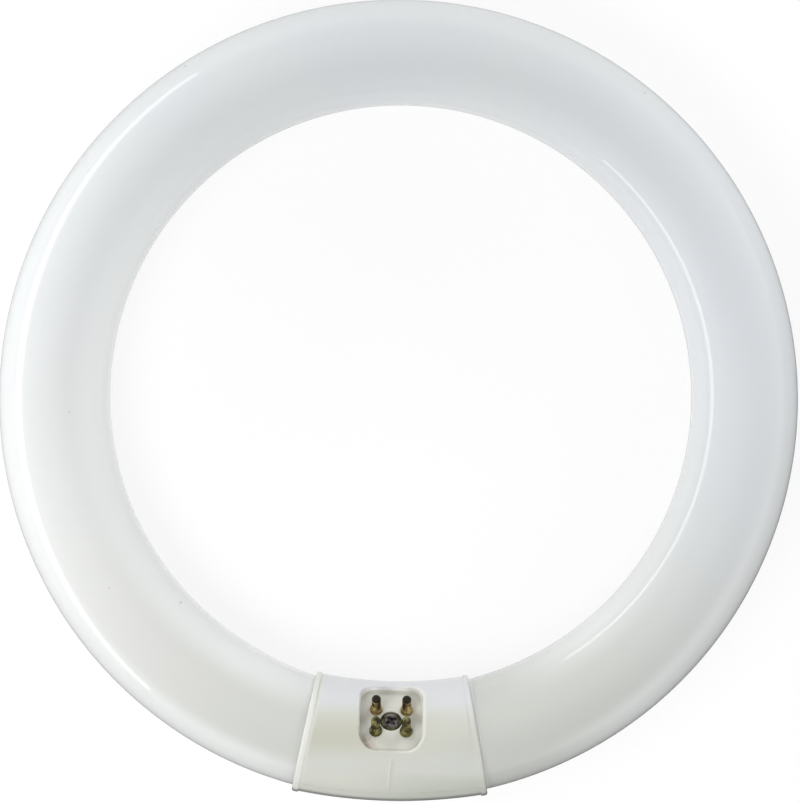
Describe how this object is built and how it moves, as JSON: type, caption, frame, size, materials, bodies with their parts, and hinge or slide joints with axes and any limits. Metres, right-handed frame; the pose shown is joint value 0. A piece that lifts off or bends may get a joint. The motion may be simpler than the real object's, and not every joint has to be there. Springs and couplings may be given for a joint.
{
  "type": "circular fluorescent tube",
  "caption": "Ring-shaped white fluorescent lamp whose glass ends meet in a small moulded cap with brass contact pins in a recess.",
  "frame": {"origin": "centre of the ring, on the tube's mid-plane", "axes": "+Z along the ring's axis, out of the side on which the contact pins show; -Y from the centre to the cap"},
  "size_m": [0.21, 0.2107, 0.033],
  "materials": {
    "coated_glass": "clear glossy glass with an opaque white powder coat inside",
    "cap_plastic": "satin white moulding, very slightly yellowed",
    "pin_brass": "turned brass, dull and slightly darkened",
    "screw_steel": "dark plated steel",
    "lead_wire": "bare nickel-iron wire"
  },
  "bodies": {
    "root": {"glass_tube": "coated_glass", "cap_front": "cap_plastic", "cap_back": "cap_plastic", "clamp_screw": "screw_steel", "contact_pin_1": "pin_brass", "contact_pin_2": "pin_brass", "contact_pin_3": "pin_brass", "contact_pin_4": "pin_brass", "lead_wire_1": "lead_wire", "lead_wire_2": "lead_wire", "lead_wire_3": "lead_wire", "lead_wire_4": "lead_wire"}
  },
  "joints": []
}
